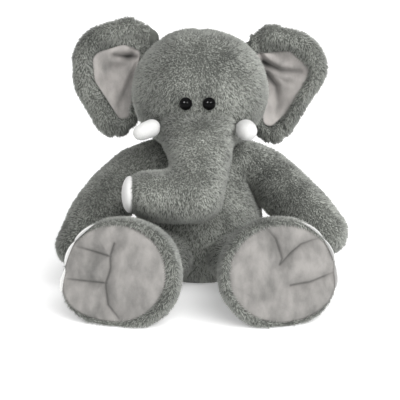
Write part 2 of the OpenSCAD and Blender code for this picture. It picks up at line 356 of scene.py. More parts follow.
def joinTufts(piece, tuftPoints, tuftShade, tuftOut):
    # the skin and its tufts, four points and four faces each, become one mesh
    mesh = piece.data
    skinCount, count = len(mesh.vertices), len(tuftShade)
    first = skinCount + 4 * np.arange(count)[:, None, None]
    corners = (first + np.array([[0, 1, 3], [1, 2, 3], [2, 0, 3], [0, 2, 1]])).reshape(-1)
    loopVerts = np.zeros(len(mesh.loops), np.int32)
    mesh.loops.foreach_get("vertex_index", loopVerts)
    starts = np.zeros(len(mesh.polygons), np.int32)
    mesh.polygons.foreach_get("loop_start", starts)
    grown = bpy.data.meshes.new(piece.name)
    grown.vertices.add(skinCount + 4 * count)
    grown.loops.add(len(loopVerts) + 12 * count)
    grown.polygons.add(len(starts) + 4 * count)
    allPoints = np.concatenate([pointsOf(mesh), tuftPoints])
    grown.vertices.foreach_set("co", allPoints.astype(np.float32).ravel())
    grown.loops.foreach_set("vertex_index", np.concatenate([loopVerts, corners]).astype(np.int32))
    tuftStarts = len(loopVerts) + 3 * np.arange(4 * count)
    grown.polygons.foreach_set("loop_start", np.concatenate([starts, tuftStarts]).astype(np.int32))
    grown.update(calc_edges=True)
    grown.polygons.foreach_set("use_smooth", np.ones(len(grown.polygons), bool))
    # the skin and the tuft bases get tip 0, the dark root colour: painted shade deep in the pile
    tip = np.concatenate([np.zeros(skinCount), np.tile([0, 0, 0, 1.0], count)])
    shade = np.concatenate([np.full(skinCount, 0.5), np.repeat(tuftShade, 4)])
    for name, values in (("tip", tip), ("shade", shade)):
        grown.attributes.new(name, "FLOAT", "POINT").data.foreach_set("value", values.astype(np.float32))
    faceOut = np.concatenate([normalsOf(mesh), np.repeat(tuftOut, 4, axis=0)])
    grown.normals_split_custom_set_from_vertices(faceOut.tolist())
    piece.data = grown


def plantPile(piece, seed, kind="body", lay=(0, -0.25, -1), isBare=None, trim=None):
    pile, spread = pileKinds[kind], pileSpread
    draw = np.random.default_rng(seed)
    at, up = scatter(piece.data, pile["spacing"], draw)
    if isBare is not None:
        keep = ~isBare(at)
        at, up = at[keep], up[keep]
    count = len(at)
    swirl = [softNoise(at, spread["swirlSize"], seed + 7.3 * k) for k in range(3)]
    flow = np.array(lay, float) + np.stack(swirl, axis=1) * pile["swirl"]
    flow += draw.normal(0, spread["stray"], (count, 3))
    flow -= up * (flow * up).sum(1, keepdims=True)
    flow = unitRows(flow)
    lean = pile["lean"] + draw.normal(0, spread["leanStray"], count)
    lean = np.radians(lean + spread["leanDrift"] * softNoise(at, spread["driftSize"], seed + 31.7))
    aim = up * np.cos(lean)[:, None] + flow * np.sin(lean)[:, None]
    long = pile["length"] * draw.uniform(*spread["lengths"], count)
    if trim is not None:
        long *= trim(at)
    side = unitRows(np.cross(aim, draw.normal(0, 1, (count, 3))))
    other = np.cross(aim, side)
    half = pile["width"] / 2 * draw.uniform(*spread["widths"], count)[:, None]
    root = at - up * spread["rootDepth"]
    ring = [root + half * (side * math.cos(turn) + other * math.sin(turn)) for turn in (0, 2.0944, 4.18879)]
    tips = at + aim * long[:, None]
    tips[:, 2] = np.maximum(tips[:, 2], 0.0002)  # none reaches into the floor
    shade = draw.random(count)
    out = unitRows(up + spread["shadeLean"] * aim + draw.normal(0, spread["shadeStray"], (count, 3)))
    joinTufts(piece, np.stack([*ring, tips], axis=1).reshape(-1, 3), shade, out)


# finishes; "surface" holds the shader's own values
finishes = {
    "plush": {
        # root: painted shade deep in the pile, on the skin and at the base of each tuft
        "root": (0.10, 0.104, 0.096),
        "tip": (0.56, 0.576, 0.54),
        "darkest": (0.30, 0.308, 0.30),
        "palest": (1.62, 1.62, 1.59),
        "shares": {"tuft": 0.32, "clump": 0.22, "patch": 0.46},
        "surface": {
            "Roughness": 0.9, "Specular IOR Level": 0.15, "Sheen Weight": 0.25, "Sheen Roughness": 0.5},
    },
    "ear satin": {
        # crease: the colour of the painted shade in folds and seams
        "crease": (0.03, 0.03, 0.028),
        "dark": (0.15, 0.147, 0.14),
        "light": (0.41, 0.386, 0.368),
        "surface": {
            "Roughness": 0.5, "Specular IOR Level": 0.35, "Sheen Weight": 0.35, "Sheen Roughness": 0.35},
    },
    # the ear satin again, its colours painted darker as painted shade to make up for the extra light the
    # soles catch
    "sole satin": {
        # crease: the colour of the painted shade in stitched lines and at the rim
        "crease": (0.03, 0.03, 0.028),
        "dark": (0.09, 0.09, 0.085),
        "light": (0.275, 0.264, 0.252),
        "surface": {
            "Roughness": 0.55, "Specular IOR Level": 0.35, "Sheen Weight": 0.35, "Sheen Roughness": 0.35},
    },
    "felt": {
        "colour": (0.62, 0.62, 0.61),
        "dim": 0.93,
        "surface": {"Roughness": 0.9, "Sheen Weight": 0.3, "Specular IOR Level": 0.2},
    },
    "bead": {
        "colour": (0.0006, 0.0006, 0.0006),
        "smear": (0.0012, 0.0012, 0.0013),
        "surface": {"Roughness": 0.06, "Specular IOR Level": 0.05},
    },
}


class NodeBoard:
    # a short way to write a material's nodes
    def __init__(self, name):
        self.material = bpy.data.materials.new(name)
        self.material.use_nodes = True
        self.tree = self.material.node_tree
        self.shader = self.tree.nodes["Principled BSDF"]
        self.place = self.add("ShaderNodeTexCoord").outputs["Object"]

    def add(self, kind, values=None, links=None, **settings):
        node = self.tree.nodes.new(kind)
        for key, value in settings.items():
            setattr(node, key, value)
        for key, value in (values or {}).items():
            node.inputs[key].default_value = value
        for key, source in (links or {}).items():
            self.tree.links.new(source, node.inputs[key])
        return node

    def noise(self, scale, detail=3.0, stretch=None):
        source = self.place
        if stretch:
            source = self.add("ShaderNodeMapping", {"Scale": stretch}, {"Vector": self.place}).outputs[0]
        values = {"Scale": scale, "Detail": detail}
        return self.add("ShaderNodeTexNoise", values, {"Vector": source}).outputs["Fac"]

    def ramp(self, source, low, high):
        # source between low and high becomes 0 to 1
        values = {"From Min": low, "From Max": high}
        return self.add("ShaderNodeMapRange", values, {"Value": source}).outputs["Result"]

    def math(self, operation, a, b):
        node = self.add("ShaderNodeMath", operation=operation)
        for slot, value in enumerate((a, b)):
            if isinstance(value, (int, float)):
                node.inputs[slot].default_value = value
            else:
                self.tree.links.new(value, node.inputs[slot])
        return node.outputs[0]

    def mix(self, factor, a, b):
        node = self.add("ShaderNodeMix", data_type="RGBA")
        for slot, value in ((0, factor), (6, a), (7, b)):
            if isinstance(value, (int, float)):
                node.inputs[slot].default_value = value
            elif isinstance(value, tuple):
                node.inputs[slot].default_value = (*value, 1)
            else:
                self.tree.links.new(value, node.inputs[slot])
        return node.outputs[2]

    def bump(self, height, distance, strength=1.0):
        values = {"Distance": distance, "Strength": strength}
        node = self.add("ShaderNodeBump", values, {"Height": height})
        self.tree.links.new(node.outputs[0], self.shader.inputs["Normal"])

    def colour(self, source):
        self.tree.links.new(source, self.shader.inputs["Base Color"])

    def surface(self, look):
        for socket, value in look["surface"].items():
            self.shader.inputs[socket].default_value = value


def makePlush():
    look = finishes["plush"]
    board = NodeBoard("grey_plush")
    tip = board.add("ShaderNodeAttribute", attribute_name="tip").outputs["Fac"]
    shade = board.add("ShaderNodeAttribute", attribute_name="shade").outputs["Fac"]
    # painted shade: dark at the roots and on the skin, pale at the tips
    pile = board.mix(tip, look["root"], look["tip"])
    clumps = board.ramp(board.noise(260, 3), 0.3, 0.7)
    patches = board.ramp(board.noise(28, 2), 0.3, 0.7)
    shares = look["shares"]
    tufts = board.math("MULTIPLY", shade, shares["tuft"])
    tone = board.math("ADD", tufts, board.math("MULTIPLY", clumps, shares["clump"]))
    tone = board.math("ADD", tone, board.math("MULTIPLY", patches, shares["patch"]))
    shadeMix = board.add("ShaderNodeMix", data_type="RGBA", blend_type="MULTIPLY")
    shadeMix.inputs[0].default_value = 1.0
    board.tree.links.new(pile, shadeMix.inputs[6])
    board.tree.links.new(board.mix(tone, look["darkest"], look["palest"]), shadeMix.inputs[7])
    board.colour(shadeMix.outputs[2])
    board.surface(look)
    board.bump(board.noise(900, 2), 0.0006, 0.6)
    return board.material


def makeSatin(kind):
    look = finishes[kind]
    board = NodeBoard(kind.replace(" ", "_"))
    fold = board.add("ShaderNodeAttribute", attribute_name="fold").outputs["Fac"]
    streaks = board.noise(90, 4, stretch=(1, 1, 0.55))
    patches = board.noise(30, 3)
    tone = board.math("ADD", board.math("MULTIPLY", streaks, 0.55), board.math("MULTIPLY", patches, 0.45))
    grain = board.noise(1100, 2)
    tone = board.math("ADD", board.ramp(tone, 0.30, 0.66), board.math("MULTIPLY", grain, 0.3))
    cloth = board.mix(tone, look["dark"], look["light"])
    # painted shade: the cloth turns to the crease colour where the fold value is low
    board.colour(board.mix(fold, look["crease"], cloth))
    board.surface(look)
    board.bump(board.math("ADD", grain, board.math("MULTIPLY", streaks, 3.0)), 0.0005, 0.5)
    return board.material


def makeFelt():
    look = finishes["felt"]
    board = NodeBoard("white_felt")
    fibre = board.noise(700, 4)
    dim = tuple(look["dim"] * channel for channel in look["colour"])
    board.colour(board.mix(board.ramp(fibre, 0.3, 0.7), dim, look["colour"]))
    board.surface(look)
    board.bump(fibre, 0.0005, 0.5)
    return board.material


def makeBead():
    look = finishes["bead"]
    board = NodeBoard("glossy_black_eyes")
    smear = board.noise(300, 2)
    board.colour(board.mix(smear, look["colour"], look["smear"]))
    board.surface(look)
    board.bump(board.noise(60, 1), 0.0002, 0.1)
    return board.material


plushFinish, feltFinish, beadFinish = makePlush(), makeFelt(), makeBead()
earSatin, soleSatinPaintedDarker = makeSatin("ear satin"), makeSatin("sole satin")
print("finishes ready")


def dress(piece, finish, body=None):
    piece.data.materials.clear()
    piece.data.materials.append(finish)
    if body:
        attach(piece, body)


backSeamLook = {"depth": 0.0026, "width": 0.0032}
trimLook = {"share": 0.6, "width": 0.003}


def backSeam(front):
    # distance to the seam down the middle of the back, behind this Y
    return lambda at: np.where(at[:, 1] > front, np.abs(at[:, 0]), 1)


def seamTrim(*distances):
    # pile cut short along the seams, so more of the painted root shade shows there
    def trim(at):
        return 1 - trimLook["share"] * sum(
            np.exp(-((distance(at) / trimLook["width"]) ** 2)) for distance in distances)

    return trim


def ballMask(centre, radius):
    return lambda at: np.linalg.norm(at - np.array(centre), axis=1) < radius


# head
headLook = {
    "voxel": 0.005,
    "fabric": {"pressure": 4, "reach": 0.003},
    "narrower": (0.002, 0.002, 0),
    "lumps": {"height": 0.0012, "size": 0.035, "seed": 3.1},
    "neckRadius": 0.038,
    # X and Z of the seam that joins the trunk to the face, from tusk to tusk
    "browSeam": ((-0.053, 0.1465), (-0.031, 0.1572), (-0.007, 0.1612), (0.019, 0.1594), (0.044, 0.1515)),
    "brow": {"depth": 0.0022, "width": 0.003},
}
headLow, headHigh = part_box("head_cover")
headDepth = headHigh.y - headLow.y
headMid = Vector((0, (headLow.y + headHigh.y) / 2, headHigh.z - headDepth / 2))
headHalf = Vector(((headHigh.x - headLow.x) / 2, headDepth / 2, headDepth / 2))


def browSeam(at):
    return np.where(at[:, 1] < headMid.y, distanceToLine(at[:, [0, 2]], headLook["browSeam"]), 1)


def makeHead():
    bm = bmesh.new()
    bmesh.ops.create_icosphere(bm, subdivisions=5, radius=1)
    bmesh.ops.scale(bm, vec=headHalf - Vector(headLook["narrower"]), verts=bm.verts)
    bmesh.ops.translate(bm, vec=headMid, verts=bm.verts)
    head = newPiece("head_plush", bm)
    meltTogether(head, headLook["voxel"], 2)
    puff(head, headLook["fabric"], lambda at: backSeam(headMid.y)(at) < 0.003)
    subdivide(head)
    lump(head, **headLook["lumps"])
    crease(head, **backSeamLook, distance=backSeam(headMid.y))
    crease(head, **headLook["brow"], distance=browSeam)
    inTorso = ballMask(jointPlaces["neck_nod"], headLook["neckRadius"])
    plantPile(head, 11, isBare=inTorso, trim=seamTrim(backSeam(headMid.y), browSeam))
    dress(head, plushFinish, "head")
    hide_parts("head_cover", "head_stuffing", "left_eye_washer", "right_eye_washer")


# torso, seat and neck
torsoLook = {
    "voxel": 0.005,
    "fabric": {"pressure": 4, "reach": 0.003},
    "lumps": {"height": 0.0015, "size": 0.035, "seed": 8.4},
    "belly": (0, 0, 0.056),
    "chest": {"shift": (0, 0.004, 0), "radius": 0.038},
    "shoulders": {"out": 0.036, "back": 0.002, "up": 0.011, "radius": 0.0235},
    "seat": {"ring": 0.031, "height": 0.0195, "radius": 0.019, "balls": 12},
}


def makeTorso():
    low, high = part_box("torso_cover")
    bellyRadius = (high.x - low.x) / 2
    belly = Vector(torsoLook["belly"])
    neck = jointPlaces["neck_turn"]
    chest, shoulders, seat = torsoLook["chest"], torsoLook["shoulders"], torsoLook["seat"]
    seatBalls = []
    for k in range(seat["balls"]):
        turn = k * math.tau / seat["balls"]
        at = Vector((math.cos(turn) * seat["ring"], math.sin(turn) * seat["ring"], seat["height"]))
        seatBalls.append((at, seat["radius"]))
    bm = bmesh.new()
    wrapBalls(bm, [(belly, bellyRadius - 0.002), (neck + Vector(chest["shift"]), chest["radius"])])
    wrapBalls(bm, [
        (neck + Vector((sign * shoulders["out"], shoulders["back"], shoulders["up"])), shoulders["radius"])
        for _, sign in sides])
    wrapBalls(bm, [(belly, bellyRadius - 0.006)] + seatBalls)
    torso = newPiece("torso_plush", bm)
    meltTogether(torso, torsoLook["voxel"], 3)
    puff(torso, torsoLook["fabric"], lambda at: at[:, 2] > neck.z)
    subdivide(torso)
    lump(torso, **torsoLook["lumps"])
    crease(torso, **backSeamLook, distance=backSeam(0))
    standOnFloor(torso)

    def isBare(at):
        return (at[:, 2] < floorLook["bareBelow"]) | (at[:, 2] > headMid.z - 0.03)

    plantPile(torso, 12, isBare=isBare, trim=seamTrim(backSeam(0)))
    dress(torso, plushFinish, "torso")
    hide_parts("torso_cover", "torso_stuffing", "pellet_bag", "neck_stuffing")


seatLook = {"thickness": 0.0014, "lift": 0.0008, "edge": 0.0005}


def makeSeat():
    low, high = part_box("seat_panel")
    radius = (high.x - low.x) / 2
    bm = bmesh.new()
    bmesh.ops.create_cone(
        bm, cap_ends=True, segments=64, radius1=radius, radius2=radius, depth=seatLook["thickness"])
    bmesh.ops.translate(bm, vec=(0, 0, seatLook["lift"]), verts=bm.verts)
    rim = [e for e in bm.edges if len(e.link_faces) == 2 and abs(e.calc_face_angle()) > 1]
    bmesh.ops.bevel(
        bm, geom=rim, offset=seatLook["edge"], segments=2, profile=0.5, affect="EDGES", material=-1)
    seat = newPiece("seat_plush", bm)
    dress(seat, plushFinish, "torso")
    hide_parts("seat_panel")


# trunk
trunkLook = {
    "voxel": 0.0045,
    "fabric": {"pressure": 4, "reach": 0.003},
    "lumps": {"height": 0.0012, "size": 0.03, "seed": 5.2},
    "brow": {"left": -0.0175, "right": 0.0125, "back": 0.015, "up": 0.0095, "radius": 0.0218},
    "radii": {"bridge": 0.0295, "middle": 0.0265, "corner": 0.0245, "tube": 0.0235, "end": 0.0225},
    "cut": 0.004,
    "bend": 0.022,
    "disc": {"radius": 0.0172, "bulge": 0.44, "out": 0.0025, "down": 0.001},
}


def makeTrunk():
    top, bend = jointPlaces["trunk_lift"], jointPlaces["trunk_curl"]
    disc = middleOf("trunk_end_disc")
    brow, radii = trunkLook["brow"], trunkLook["radii"]
    browBalls = [
        (top + Vector((brow[side], brow["back"], brow["up"])), brow["radius"]) for side in ("left", "right")]
    bridge = (top + Vector((0, 0.001, -0.001)), radii["bridge"])
    middle = (top.lerp(bend, 0.55) + Vector((0.001, 0.001, 0.001)), radii["middle"])
    corner = (bend + Vector((0, 0.001, -0.002)), radii["corner"])
    tube = (bend.lerp(disc, 0.5) + Vector((0, 0, -0.003)), radii["tube"])
    end = (disc + Vector((0.024, 0, -0.001)), radii["end"])
    bm = bmesh.new()
    wrapBalls(bm, [*browBalls, bridge])
    chainBalls(bm, [bridge, middle, corner, tube, end])
    trunk = newPiece("trunk_plush", bm)
    meltTogether(trunk, trunkLook["voxel"], 6)
    puff(trunk, trunkLook["fabric"])
    subdivide(trunk)
    endPlane = disc.x + trunkLook["cut"]
    points = pointsOf(trunk.data)
    points[:, 0] = np.maximum(points[:, 0], endPlane)
    setPoints(trunk.data, points)
    lump(trunk, **trunkLook["lumps"])
    crease(trunk, **headLook["brow"], distance=browSeam)

    def isBare(at):
        inHead = (at[:, 1] > headMid.y - headHalf.y + 0.016) & (at[:, 2] > 0.145)
        return (at[:, 0] < endPlane + 0.001) | inHead

    plantPile(trunk, 13, isBare=isBare, trim=seamTrim(browSeam))
    dress(trunk, plushFinish)
    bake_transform(trunk)
    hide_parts("trunk_root_cover", "trunk_root_stuffing", "trunk_end_cover", "trunk_end_stuffing")
    makeTrunkDisc(endPlane, disc)


def makeTrunkDisc(endPlane, disc):
    # the felt disc that closes the end
    look = trunkLook["disc"]
    at = Vector((endPlane + look["out"], disc.y, disc.z - look["down"]))
    bm = bmesh.new()
    bmesh.ops.create_icosphere(bm, subdivisions=4, radius=look["radius"])
    bmesh.ops.scale(bm, vec=(look["bulge"], 1, 1), verts=bm.verts)
    bmesh.ops.translate(bm, vec=at, verts=bm.verts)
    felt = newPiece("trunk_end_felt", bm)
    shadeSmooth(felt)
    dress(felt, feltFinish, "trunk_end")
    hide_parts("trunk_end_disc")


# eyes and tusks
faceLook = {
    "tuskShift": {"left": 0, "right": -0.004},
    "tuskRadius": {"left": 0.0085, "right": 0.0098},
    "eyeShift": -0.0024,
    "eyeRadius": 0.0061,
}


def makeEyes():
    radius = faceLook["eyeRadius"]
    for side in ("left", "right"):
        low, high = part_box(side + "_eye")
        across = (low.x + high.x) / 2 + faceLook["eyeShift"]
        bm = bmesh.new()
        bmesh.ops.create_icosphere(bm, subdivisions=5, radius=radius)
        bmesh.ops.translate(bm, vec=(across, low.y + radius * 1.2, (low.z + high.z) / 2), verts=bm.verts)
        eye = newPiece(side + "_eye_bead", bm)
        shadeSmooth(eye)
        dress(eye, beadFinish, "head")
        shinyPieces.objects.link(eye)
        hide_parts(side + "_eye")


def makeTusks():
    for side, sign in sides:
        low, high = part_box(side + "_tusk_cover")
        radius = faceLook["tuskRadius"][side]
        inner = Vector((high.x - radius if sign < 0 else low.x + radius, high.y - radius, high.z - radius))
        outer = Vector((low.x + radius if sign < 0 else high.x - radius, low.y + radius, low.z + radius))
        shift = Vector((faceLook["tuskShift"][side], 0, 0))
        middle = inner.lerp(outer, 0.6)
        bm = bmesh.new()
        chainBalls(bm, [(inner + shift, radius), (middle + shift, radius), (outer + shift, radius * 0.92)])
        tusk = newPiece(side + "_tusk_felt", bm)
        meltTogether(tusk, 0.0015, 4)
        lump(tusk, 0.0004, 0.006, 2.2 + sign)
        shadeSmooth(tusk)
        dress(tusk, feltFinish, "head")
        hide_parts(side + "_tusk_cover", side + "_tusk_stuffing")


# arms
armLook = {
    "voxel": 0.005,
    "fabric": {"pressure": 4, "reach": 0.003},
    "bow": {"left": -0.0015, "right": -0.0045},
    "lift": {"left": 0.0145, "right": 0.0262},
    "radii": {"root": 0.0205, "shoulder": 0.0225, "upper": 0.0262, "lower": 0.0255, "hand": 0.0215},
    "bareInside": 0.037,
}


def makeArms():
    radii = armLook["radii"]
    for side, sign in sides:
        low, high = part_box(side + "_arm_cover")
        shoulder = jointPlaces[side + "_shoulder"]
        handX = low.x + 0.025 if sign < 0 else high.x - 0.022
        hand = Vector((handX, low.y + 0.024, low.z + armLook["lift"][side]))
        out = Vector((sign, 0, 0.8)) * armLook["bow"][side]
        balls = [
            (Vector((sign * 0.047, shoulder.y, shoulder.z + 0.003)), radii["root"]),
            (shoulder - Vector((sign * 0.0025, 0, 0.007)), radii["shoulder"]),
            (shoulder.lerp(hand, 0.35) + out, radii["upper"]),
            (shoulder.lerp(hand, 0.7) + out * 0.3, radii["lower"]),
            (hand, radii["hand"]),
        ]
        bm = bmesh.new()
        chainBalls(bm, balls)
        arm = newPiece(side + "_arm_plush", bm)
        meltTogether(arm, armLook["voxel"], 4)
        puff(arm, armLook["fabric"])
        subdivide(arm)
        lump(arm, 0.0016, 0.03, 6.6 + 3 * sign)
        plantPile(arm, 20 + sign, isBare=lambda at: np.abs(at[:, 0]) < armLook["bareInside"])
        dress(arm, plushFinish, side + "_arm")
        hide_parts(side + "_arm_cover", side + "_arm_stuffing")


# legs and feet
legLook = {
    "voxel": 0.005,
    "fabric": {"pressure": 3, "reach": 0.002},
    "radii": {"root": 0.0245, "hip": 0.0255, "ankle": 0.0255},
}
footLook = {
    "voxel": 0.004,
    "fabric": {"pressure": 4, "reach": 0.002},
    "height": 0.94,
    "shift": (-0.0035, 0.002, 0),
    "heel": {"left": 0.36, "right": 0.16},
    "sewnWithin": 0.049,
}
soleLook = {
    "halves": {"left": (0.0475, 0.0445), "right": (0.0503, 0.0448)},
    "shift": {"left": (0.0025, 0.002, 0), "right": (0.0003, 0.002, 0)},
    "bulge": 0.0065,
    "set": 0.0025,
    "thickness": 0.001,
    "bed": {"depth": 0.0048, "rise": 0.0055},
    # each stitched line pulls the satin into a wide valley and a narrow groove: depth, width
    "valley": (0.0034, 0.008),
    "groove": (0.0012, 0.0013),
    "lumps": (0.0018, 0.02),
    "wrinkles": (0.0003, 0.004),
}
# half outline of a foot in millimetres: distance from the axis, distance in front of the sole
footOutline = (
    (0, -3), (30, -3), (46, -3), (48.5, 0.5), (51, 1), (53.2, -2), (53.6, -8),
    (51.5, -19), (46, -32), (37, -44), (22, -51), (0, -53),
)
# the stitched lines of each sole, as shares of its half width and half height
soleStitches = {
    "left": (
        ((0.045, 0.61), (0.10, 0.36), (0.083, 0.12), (0.158, -0.2), (0.083, -0.64), (-0.107, -0.92)),
        ((0.95, 0.53), (0.083, 0.345)),
        ((0.97, -0.18), (0.14, -0.2)),
    ),
    "right": (
        ((-0.25, 0.94), (-0.10, 0.72), (0.0, 0.31), (-0.05, 0.19)),
        ((-0.05, 0.19), (0.184, 0.434), (0.366, 0.578), (0.72, 0.68)),
        ((0.13, -0.243), (0.476, -0.2), (0.98, -0.04)),
    ),
}


def footPlace(side, sign):
    # the matrix whose Z leaves the sole, X points to the outer side and Y up
    ankle = jointPlaces[side + "_ankle"]
    sole = middleOf(side + "_sole_panel")
    out = (sole - ankle).normalized()
    up = (Vector((0, 0, 1)) - out * out.z).normalized()
    outer = up.cross(out)
    if outer.x * sign < 0:
        outer = -outer
    place = Matrix((outer, up, out)).transposed().to_4x4()
    place.translation = sole
    return place


def makeLegsAndFeet():
    for side, sign in sides:
        hip, ankle = jointPlaces[side + "_hip"], jointPlaces[side + "_ankle"]
        root = hip + Vector((-sign * 0.01, 0.016, 0))
        radii = legLook["radii"]
        bm = bmesh.new()
        chainBalls(bm, [(root, radii["root"]), (hip, radii["hip"]), (ankle, radii["ankle"])])
        leg = newPiece(side + "_leg_plush", bm)
        meltTogether(leg, legLook["voxel"], 3)
        puff(leg, legLook["fabric"])
        subdivide(leg)
        lump(leg, 0.001, 0.03, 4.5 + sign)
        standOnFloor(leg)
        plantPile(leg, 30 + sign, isBare=lambda at: at[:, 2] < floorLook["bareBelow"])
        dress(leg, plushFinish, side + "_leg")
        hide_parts(side + "_leg_cover", side + "_leg_stuffing")
        place = footPlace(side, sign)
        makeFoot(side, sign, place)
        makeSole(side, sign, place)
    print("legs and feet ready")


def heelStretch(side, at):
    # the lower outer part of a foot is drawn out sideways
    stretch = 1 + footLook["heel"][side] * np.clip(-at[:, 1] / 0.045, 0, 1)
    return np.where(at[:, 0] > 0, stretch, 1)


def soleReach(side, at):
    # 1 on the rim of the sole, less inside it
    return np.linalg.norm((at - soleLook["shift"][side])[:, :2] / soleLook["halves"][side], axis=1)


def makeFoot(side, sign, place):
    inverse = place.inverted()
    bm = bmesh.new()
    outline = [bm.verts.new((r / 1000, 0, d / 1000)) for r, d in footOutline]
    edges = [bm.edges.new(pair) for pair in zip(outline, outline[1:])]
    bmesh.ops.spin(
        bm, geom=outline + edges, axis=(0, 0, 1), cent=(0, 0, 0), angle=math.tau, steps=64, use_merge=True)
    bmesh.ops.remove_doubles(bm, verts=bm.verts, dist=1e-5)
    bmesh.ops.recalc_face_normals(bm, faces=bm.faces)
    bmesh.ops.scale(bm, vec=(1, footLook["height"], 1), verts=bm.verts)
    bmesh.ops.translate(bm, vec=footLook["shift"], verts=bm.verts)
    bmesh.ops.transform(bm, matrix=place, verts=bm.verts)
    foot = newPiece(side + "_foot_plush", bm)
    meltTogether(foot, footLook["voxel"], 2)

    def isSewn(points):
        at = throughMatrix(points, inverse)
        return np.linalg.norm(at[:, :2], axis=1) < footLook["sewnWithin"] * (at[:, 2] > -0.006)

    puff(foot, footLook["fabric"], isSewn)
    subdivide(foot)
    lump(foot, 0.0013, 0.028, 9.2 + 2 * sign)
    # the plush lies lower under the sole than round it
    at = throughMatrix(pointsOf(foot.data), inverse)
    reach = soleReach(side, at)
    bed = soleLook["bed"]["rise"] * np.clip((reach - 0.97) / 0.07, 0, 1) - soleLook["bed"]["depth"]
    under = (at[:, 2] > -0.012) & (reach < 1.04)
    at[under, 2] = np.minimum(at[under, 2], bed[under])
    at[:, 0] *= heelStretch(side, at)
    setPoints(foot.data, throughMatrix(at, place))
    standOnFloor(foot)

    def isBare(points):
        at = throughMatrix(points, inverse)
        at[:, 0] /= heelStretch(side, at)
        underSole = (soleReach(side, at) < 0.985) & (at[:, 2] > -0.008)
        return underSole | (points[:, 2] < 0.002)

    plantPile(foot, 40 + sign, isBare=isBare)
    dress(foot, plushFinish, side + "_foot")
    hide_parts(side + "_foot_cover", side + "_foot_stuffing")


def makeSole(side, sign, place):
    halves = soleLook["halves"][side]
    sole, flat, far = roundGrid(side + "_sole_satin", 130)
    line = np.min([distanceToLine(flat, stitch) for stitch in soleStitches[side]], axis=0) * np.mean(halves)
    valley, groove = soleLook["valley"], soleLook["groove"]
    height = soleLook["bulge"] * (1 - np.clip(far, 0, 1) ** 2.4) ** 0.75 - soleLook["set"]
    height -= valley[0] * np.exp(-(line / valley[1]) ** 2) * (1 - far ** 6)
    height -= groove[0] * np.exp(-(line / groove[1]) ** 2) * (1 - far ** 8)
    spread = flat * halves
    spots = np.column_stack([spread, np.full(len(flat), 0.3 * sign)])
    height += soleLook["lumps"][0] * softNoise(spots, soleLook["lumps"][1], 1.7) * (1 - far ** 4)
    height += soleLook["wrinkles"][0] * softNoise(spots, soleLook["wrinkles"][1], 4.1)
    points = np.column_stack([spread, height]) + soleLook["shift"][side]
    points[:, 0] *= heelStretch(side, points)
    # painted shade along the stitched lines and in the groove at the rim of the sole
    shadow = 0.22 * np.exp(-(line / 0.007) ** 2) + 0.5 * np.exp(-(line / 0.0009) ** 2)
    paintFoldShade(sole, 1 - shadow * (1 - far ** 8) - 0.45 * np.clip((far - 0.955) / 0.045, 0, 1))
    setPoints(sole.data, throughMatrix(points, place))
    if sole.data.polygons[0].normal.dot(place.col[2].to_3d()) < 0:
        sole.data.flip_normals()
    thicken(sole, soleLook["thickness"])
    dress(sole, soleSatinPaintedDarker, side + "_foot")
    width, height = (2 * half for half in halves)
    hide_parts(side + "_sole_panel")


# ears
earLook = {
    "rim": 0.0088,
    "middle": 0.0042,
    "voxel": 0.004,
    "fabric": {"pressure": 3, "reach": 0.002},
    "drop": {"left": 0, "right": 0.006},
    "bed": {"depth": 0.0042, "rise": 0.007},
    "pleat": {"depth": 0.0022, "width": 0.002},
    "bareInside": 0.050,
}
liningLook = {"thickness": 0.001, "gatheredSide": 1.06, "gatheredArea": 1.08}
# balls that an ear and its lining are wrapped round, in millimetres from the hinge: outwards, up, radius
earBalls = {
    "left": ((21, 20, 38), (25, 2, 33), (17, -36, 21), (3, 45, 19.5), (-17, 43, 15), (4, -27, 14)),
    "right": ((20, 20, 38), (4, -33, 24), (1, 44, 19), (-14, 42, 14)),
}
liningBalls = {
    "left": ((27, 20, 11.5), (8, 30, 7.5), (-3, 28, 5), (29, 4, 8), (9, -30, 7)),
    "right": ((34, 17, 7.5), (18, 28, 8.5), (-8, 30, 5), (13, -20, 8), (2, -31, 6.5)),
}
# pleats sewn into the plush rim and folds of each lining, in the same millimetres
earPleats = (((-8, 27), (-12, 52)), ((-15, 24), (-21, 50)), ((2, -32), (3, -55)), ((14, -34), (18, -54)))
liningFolds = {
    "left": (((-9, 26), (4, 25), (17, 26.5)), ((-9, 24), (2, 1), (12, -23))),
    "right": (((-5, 25.5), (12, 17.3), (33, 15.5)), ((-2, 13.8), (8, 1), (10, -17), (8, -28))),
}


def earOutline(balls, inset, count):
    # evenly spaced points round the balls
    ring = []
    for out, up, radius in balls:
        reach = max(radius / 1000 - inset, 0.001)
        for k in range(48):
            turn = math.tau * k / 48
            ring.append(Vector((out / 1000 + reach * math.cos(turn), up / 1000 + reach * math.sin(turn))))
    hull = [ring[k] for k in geometry.convex_hull_2d(ring)]
    steps = [(hull[(k + 1) % len(hull)] - hull[k]).length for k in range(len(hull))]
    marks = np.concatenate([[0], np.cumsum(steps)])
    wanted = np.linspace(0, marks[-1], count, endpoint=False)
    closed = np.array([*hull, hull[0]])
    return np.stack([np.interp(wanted, marks, closed[:, k]) for k in range(2)], axis=1)


def insideBy(flat, outline):
    # how far each point lies inside a convex outline, negative outside it
    middle = outline.mean(axis=0)
    depth = np.full(len(flat), 1e9)
    for start, end in zip(outline, np.roll(outline, -1, axis=0)):
        along = (end - start) / np.linalg.norm(end - start)
        inward = np.array([-along[1], along[0]])
        inward *= np.sign((middle - start) @ inward)
        depth = np.minimum(depth, (flat - start) @ inward)
    return depth


